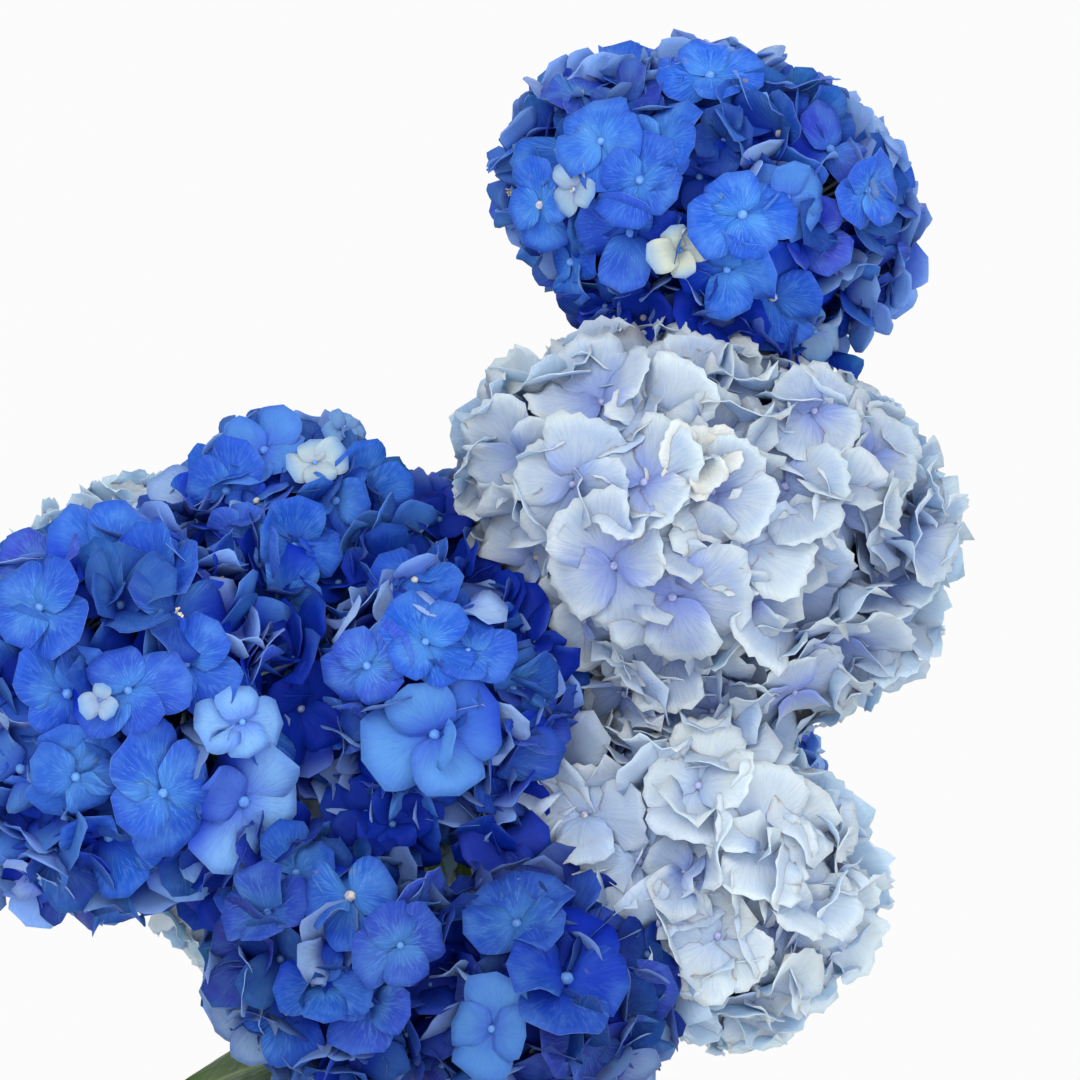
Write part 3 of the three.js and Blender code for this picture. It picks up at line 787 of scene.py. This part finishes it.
def makeHead(name, look, seed):
    draw = random.Random(seed)
    kind = headKinds[name.split("_")[0]]
    centre = centres[name]
    tip = stemTip(name)
    crown = (centre - tip).normalized()
    spacing = kind["spacing"] * look["size"]
    joints = []
    for direction in goldenDirections(headForm["joints"], crown):
        if direction.angle(crown) < headForm["jointsTo"]:
            reach = (surface(name, direction)[0] - centre).length * headForm["jointShare"]
            joints.append(centre + direction * reach)
    bm = bmesh.new()
    for layer in ("petal", "tint"):
        bm.verts.layers.float_vector.new(layer)
    for joint in joints:
        addStalk(bm, tip, joint, headForm["branch"], 6)

    def place(choices, spot, normal, axis, depth, size, tint):
        choice = draw.choice(kind[choices])
        heart = addFloret(bm, name, choice, draw, spot, normal, axis, depth, size, tint)
        joint = min(joints, key=lambda end: (end - heart).length)
        addStalk(bm, joint, heart - axis * 0.2 * mm, headForm["pedicel"], 5)

    gaps = seenSpots(name, "gaps")

    def inGap(spot):
        return any((spot - gap).length < reach * mm for gap, reach in gaps)

    # the florets that the photograph shows full face, and the young ones
    taken = []
    for spot, size, hue in seenSpots(name, "shown"):
        outward = (spot - centre).normalized()
        lean = scattered(draw, headForm["shownLean"])
        axis = (outward + viewBack * 0.5 + lean).normalized()
        # painted light: the full-face florets take the top of the head's light
        tint = (hue, draw.uniform(0.9, 1.05) * look["light"][1], 0)
        choices = "variants" if draw.random() < headForm["cupped"] else "flat"
        place(choices, spot, outward, axis, -2 * mm, size, tint)
        taken.append((spot, size * spacing * 0.8))
    for spot, size, young in seenSpots(name, "young"):
        outward = (spot - centre).normalized()
        axis = (outward + viewBack * 0.4).normalized()
        place("variants", spot, outward, axis, -3 * mm, size, (0.9, 1.05, young))
        taken.append((spot, (size * 0.5 + 0.35) * spacing))

    # the other outer ones, at three depths that neighbours don't share
    seats = [spot for spot in seatsOf(name, spacing, crown)
             if all((spot - other).length > reach for other, reach in taken)]
    silverShare, silverHue = headForm["silver"]
    levels = []
    placed = 0
    for number, spot in enumerate(seats):
        outward = (spot - centre).normalized()
        near = [levels[i] for i in range(number) if (seats[i] - spot).length < spacing * 1.4]
        level = min((0, 1, 2), key=lambda step: (near.count(step), draw.random()))
        levels.append(level)
        normal = (surface(name, outward)[1] * 0.5 + outward * 0.5).normalized()
        axis = (normal + scattered(draw, draw.choice(headForm["lean"]))).normalized()
        if axis.dot(normal) < 0.2:
            axis = (axis + normal).normalized()
        silvery = silverHue if draw.random() < silverShare else 0
        tint = (silvery or draw.uniform(*look["hue"]), draw.uniform(*look["light"]), 0)
        size = look["size"] * draw.uniform(*headForm["sizes"])
        if inGap(spot) or isHidden(spot):
            continue
        beside = any((spot - other).length < reach * 1.3 for other, reach in taken)
        depth = headForm["seat"] + (level + beside) * kind["layerStep"]
        place("variants", spot, normal, axis, depth, size, tint)
        placed += 1

    # those inside, which close the view into the head, and those in the seams
    count = int(len(seats) * kind["innerShare"])
    for direction in goldenDirections(count, crown):
        if direction.angle(crown) > headForm["innerLowest"]:
            break
        spot, _ = surface(name, direction)
        if inGap(spot) or isHidden(spot):
            continue
        axis = (direction + scattered(draw, headForm["innerLean"])).normalized()
        # painted shade: the inner florets take the bottom of the head's light
        tint = (draw.uniform(*look["hue"]), look["light"][0], 0)
        depth = kind["innerDepth"] + draw.uniform(-2, 3) * mm
        place("inner", spot, direction, axis, depth,
              look["size"] * draw.uniform(*headForm["innerSizes"]), tint)
    for spot, outward in seamsOf(name):
        if inGap(spot):
            continue
        axis = (outward + scattered(draw, headForm["innerLean"])).normalized()
        # painted shade: the seam florets take the bottom of the head's light and a share of the
        # deep colour
        tint = (draw.uniform(*look["hue"]), look["light"][0], -0.5)
        place("inner", spot, outward, axis, 0,
              look["size"] * draw.uniform(*headForm["seamSizes"]), tint)
    print("head", name, "florets", placed, "of", len(seats), "faces", len(bm.faces))
    finishedPiece("bloom_" + name, bm, kind["materials"], kind["slot"], ["head_" + name])


for number, (name, look) in enumerate(heads.items()):
    makeHead(name, look, 100 + number)


stemForm = {
    "radius": 3.9 * mm, "sides": 14, "nodeEvery": 62 * mm, "nodeSwell": 1.22,
    # how a stem solid is followed: the step, and the rays at each with their reach
    "step": 4 * mm, "rays": 4, "rayReach": 14 * mm, "widest": 11 * mm,
}
leafForm = {
    "across": 20, "along": 34, "thickness": 0.55 * mm, "teeth": 15, "tooth": 0.05, "veins": 7,
    "quilt": 0.9 * mm, "ripple": 1.4 * mm, "stalk": 1.7 * mm,
    # how a leaf's corners are told from its stem's, and from another leaf's
    "clear": 7.5 * mm, "tipAway": 45 * mm, "sameSide": 0.7,
}


def followStem(tree, foot, end):
    # walks up the inside of a stem solid and keeps to the middle of its walls
    points = [foot]
    forward = up
    here = foot + up * 2 * mm
    while (here - end).length > stemForm["step"]:
        side = forward.orthogonal().normalized()
        shifts = []
        for number in range(stemForm["rays"]):
            ray = Matrix.Rotation(math.pi * number / stemForm["rays"], 3, forward) @ side
            one = tree.ray_cast(here, ray, stemForm["rayReach"])[0]
            two = tree.ray_cast(here, -ray, stemForm["rayReach"])[0]
            if one and two and (one - two).length < stemForm["widest"]:
                shifts.append((one + two) / 2 - here)
        if len(shifts) < 2:
            break
        here = here + sum(shifts, Vector()) / len(shifts)
        forward = (forward * 0.5 + (here - points[-1]).normalized()).normalized()
        points.append(here.copy())
        here = here + forward * stemForm["step"]
    if (points[-1] - end).length > 1 * mm:
        points.append(end)
    return points[:-1:3] + [points[-1]]


def addStemTube(bm, points):
    curve = bpy.data.curves.new("stemLine", "CURVE")
    curve.dimensions = "3D"
    curve.bevel_depth = 1.0
    curve.bevel_resolution = stemForm["sides"] // 2 - 1
    curve.use_fill_caps = True
    spline = curve.splines.new("POLY")
    spline.points.add(len(points) - 1)
    walked = 0.0
    for number, point in enumerate(points):
        if number:
            walked += (point - points[number - 1]).length
        fromNode = abs((walked / stemForm["nodeEvery"]) % 1 - 0.5) * 2
        swell = 1 + (stemForm["nodeSwell"] - 1) * max(0, fromNode - 0.84) / 0.16
        spline.points[number].co = (*point, 1)
        spline.points[number].radius = stemForm["radius"] * swell
    line = linked("stemLine", curve)
    mesh = bpy.data.meshes.new_from_object(line)
    bm.from_mesh(mesh)
    bpy.data.objects.remove(line)
    bpy.data.meshes.remove(mesh)


def leafSolids(node, points):
    # a stem solid's corners that stand off its tube, in one group for each leaf
    bm = mergedCopy(node)
    corners = []
    for vert in bm.verts:
        root = min(points, key=lambda point: (vert.co - point).length)
        away = (vert.co - root).length
        if away > leafForm["clear"]:
            corners.append((away, vert.co.copy(), root))
    bm.free()
    sides = []
    for away, corner, root in sorted(corners, key=lambda found: -found[0]):
        side = (corner - root).normalized()
        isFar = away > leafForm["tipAway"]
        if isFar and all(side.dot(other) < leafForm["sameSide"] for other in sides):
            sides.append(side)
    groups = [[] for _ in sides]
    for _, corner, root in corners:
        if sides:
            closeness = [(corner - root).normalized().dot(side) for side in sides]
            groups[closeness.index(max(closeness))].append(corner)
    return groups


def addLeaf(bm, group, points, layers):
    # a fine blade laid along the leaf solid's own length, width and arch
    form = leafForm
    blade, ribs = layers
    root = min(points, key=lambda point: min((point - co).length for co in group))
    tip = max(group, key=lambda co: (co - root).length)
    long = (tip - root).length
    forward = (tip - root).normalized()
    middle = sum(group, Vector()) / len(group)
    offs = [co - root - forward * (co - root).dot(forward) for co in group]
    wide = max(offs, key=lambda off: off.length).normalized()
    bent = middle - root - forward * (middle - root).dot(forward)
    normal = forward.cross(wide).normalized()
    if normal.z < 0:
        normal = -normal
    wide = normal.cross(forward).normalized()
    half = max(abs((co - root).dot(wide)) for co in group)
    arch = bent.dot(normal)
    made = bmesh.ops.create_grid(bm, x_segments=form["across"], y_segments=form["along"],
                                 size=1)["verts"]
    for vert in made:
        across = vert.co.x
        aside = abs(across)
        along = (vert.co.y + 1) / 2
        swell = math.sin(math.pi * along ** 0.92) ** 0.85 if 0 < along < 1 else 0
        width = half * max(0.05, swell * (1.08 - 0.2 * along))
        if aside > 0.99:
            width *= 1 + form["tooth"] * ((along * form["teeth"]) % 1 - 0.5)
        vein = ((along * 1.12 - aside * 0.55) * form["veins"]) % 1
        near = max(0, 1 - abs(vein - 0.5) * 2 / 0.16) * (1 - aside ** 3)
        midrib = max(0, 1 - aside / 0.07)
        lift = arch * 1.5 * math.sin(math.pi * along) + half * 0.16 * aside
        cushion = 0.5 - 0.5 * math.cos(2 * math.pi * (vein - 0.5))
        lift += form["quilt"] * cushion * math.sin(math.pi * min(1, aside * 1.05)) * swell
        lift += form["ripple"] * aside ** 2 * math.sin(9 * along + across * 2)
        vert[blade] = Vector((across, along, 0))
        vert[ribs] = Vector((max(near * 0.7, midrib), 0, 0))
        reach = long * (0.14 + 0.86 * along)
        vert.co = root + forward * reach + wide * width * across + normal * lift
    giveMaterial(thickened(bm, made, form["thickness"], blade), 1)
    place = Matrix.Translation(root + forward * long * 0.09) @ facing(forward)
    bmesh.ops.create_cone(bm, cap_ends=True, segments=8, radius1=form["stalk"] * 1.25,
                          radius2=form["stalk"] * 0.8, depth=long * 0.24, matrix=place)


def makeStem(name):
    node = "stem_" + name
    solid = mergedCopy(node)
    tree = BVHTree.FromBMesh(solid)
    lowest = min(vert.co.z for vert in solid.verts)
    ring = [vert.co for vert in solid.verts if vert.co.z < lowest + 6 * mm]
    foot = sum(ring, Vector()) / len(ring)
    foot.z = lowest + 0.2 * mm
    solid.free()
    points = followStem(tree, foot, stemTip(name))
    bm = bmesh.new()
    layers = bm.verts.layers.float_vector
    for layer in ("blade", "ribs"):
        layers.new(layer)
    addStemTube(bm, points)
    leaves = leafSolids(node, points)
    for group in leaves:
        addLeaf(bm, group, points, (layers["blade"], layers["ribs"]))
    print("stem", name, "points", len(points), "leaves", len(leaves))
    finishedPiece("stalk_" + name, bm, [stemGreen, leafGreen], "stem_green", [node])


for name in heads:
    makeStem(name)


vaseForm = {"steps": 96, "between": 5, "level": 0.1 * mm, "lip": 0.52 * mm,
            "recess": 2.2 * mm, "footRing": 7 * mm, "edge": 1.2 * mm}


def vaseRings():
    # the solid's own outer and inner radii at each of its heights
    rings = {}
    for vert in nodes["vase"].data.vertices:
        level = round(vert.co.z / vaseForm["level"])
        reach = math.hypot(vert.co.x, vert.co.y)
        low, high = rings.get(level, (reach, reach))
        rings[level] = (min(low, reach), max(high, reach))
    return sorted((level * vaseForm["level"], *radii) for level, radii in rings.items())


def rounded(points, between):
    # a smooth line through the points
    line = []
    for number in range(len(points) - 1):
        a = points[max(0, number - 1)]
        b, c = points[number], points[number + 1]
        d = points[min(len(points) - 1, number + 2)]
        for step in range(between):
            t = step / between
            line.append(0.5 * (2 * b + (c - a) * t + (2 * a - 5 * b + 4 * c - d) * t * t
                               + (3 * b - a - 3 * c + d) * t ** 3))
    return line + [points[-1]]


def makeVase():
    form = vaseForm
    foot, floor, *wall = vaseRings()
    outer = [Vector((foot[2], 0, foot[0]))] + [Vector((high, 0, z)) for z, low, high in wall]
    inner = [Vector((floor[2], 0, floor[0]))] + [Vector((low, 0, z)) for z, low, high in wall]
    top = outer[-1].z
    outside = rounded(outer, form["between"])
    inside = rounded(inner, form["between"])
    for side in (outside, inside):
        side[-1].z = top - form["lip"]
    middle = ((outside[-1] + inside[-1]) / 2).x
    edge = outside[0].x
    ring = edge - form["footRing"]
    # the foot, from its middle to its edge, then the wall, over the lip and down inside
    under = [(0, form["recess"]), (ring - 2 * mm, form["recess"]), (ring, 0.3 * mm),
             (ring + 0.8 * mm, 0), (edge - form["edge"], 0), (edge, form["edge"])]
    profile = [Vector((x, 0, z)) for x, z in under] + outside[1:]
    profile += [Vector((middle, 0, top)), *reversed(inside), Vector((0, 0, inside[0].z))]
    bm = bmesh.new()
    verts = [bm.verts.new(point) for point in profile]
    edges = [bm.edges.new(pair) for pair in zip(verts, verts[1:])]
    bmesh.ops.spin(bm, geom=verts + edges, cent=(0, 0, 0), axis=(0, 0, 1),
                   angle=2 * math.pi, steps=form["steps"], use_merge=True)
    bmesh.ops.remove_doubles(bm, verts=bm.verts, dist=0.01 * mm)
    bmesh.ops.recalc_face_normals(bm, faces=bm.faces)
    finishedPiece("vase_glazed", bm, [glazeMaterial()], "glazed_vase", ["vase"])


makeVase()
nodes["water"].data.materials.clear()
nodes["water"].data.materials.append(waterMaterial())
print("vase and water made")


studio = {
    "sensor": 36.0, "floorRadius": 0.85, "floor": "#e4e4e4", "floorShade": "#dedede",
    "sky": "#ffffff", "skySeen": 0.97, "skyStrength": 0.95,
    # place, size, power and colour of each soft light, all aimed at the bouquet
    "lights": {
        "key": ((-0.75, -2.0, 1.8), 1.1, 22.0, "#fffaf2"),
        "fill": ((1.9, -1.6, 0.6), 1.5, 10.0, "#f3f7ff"),
        "front": ((0.1, -2.4, 0.35), 1.8, 17.0, "#ffffff"),
        "rim": ((0.4, 1.9, 1.6), 1.2, 14.0, "#ffffff"),
    },
}


def makeStage():
    bm = bmesh.new()
    bmesh.ops.create_circle(bm, cap_ends=True, segments=96, radius=studio["floorRadius"])
    mesh = bpy.data.meshes.new("floor")
    bm.to_mesh(mesh)
    bm.free()
    tree = NodeTree("paleFloor")
    soft = tree.noise(tree.position(), 3.0, 1.0)
    tree.set(Base_Color=tree.mix(soft, studio["floor"], studio["floorShade"]), Roughness=0.8)
    mesh.materials.append(tree.material)
    linked("floor", mesh)


def makeLights():
    scene = bpy.context.scene
    scene.view_settings.view_transform = "Standard"
    world = scene.world = bpy.data.worlds.new("studioWorld")
    world.use_nodes = True
    tree = world.node_tree
    ground = tree.nodes["Background"]
    ground.inputs["Color"].default_value = linear(studio["sky"])
    seen = tree.nodes.new("ShaderNodeLightPath").outputs["Is Camera Ray"]
    strength = tree.nodes.new("ShaderNodeMapRange")
    strength.inputs["To Min"].default_value = studio["skyStrength"]
    strength.inputs["To Max"].default_value = studio["skySeen"]
    tree.links.new(seen, strength.inputs["Value"])
    tree.links.new(strength.outputs[0], ground.inputs["Strength"])
    for name, (place, size, power, colour) in studio["lights"].items():
        light = bpy.data.lights.new(name, "AREA")
        light.shape = "DISK"
        light.size = size
        light.energy = power
        light.color = linear(colour)[:3]
        lamp = linked(name, light)
        lamp.location = place
        away = Vector(place) - photoView["target"]
        lamp.rotation_euler = away.to_track_quat("Z", "Y").to_euler()


def makeCamera():
    lens = bpy.data.cameras.new("camera")
    lens.sensor_width = studio["sensor"]
    lens.lens = studio["sensor"] * photoView["distance"] / photoView["frame"]
    camera = linked("camera", lens)
    camera.location = viewPoint
    camera.rotation_euler = viewBack.to_track_quat("Z", "Y").to_euler()
    bpy.context.scene.camera = camera


makeStage()
makeLights()
makeCamera()
print("stage ready")
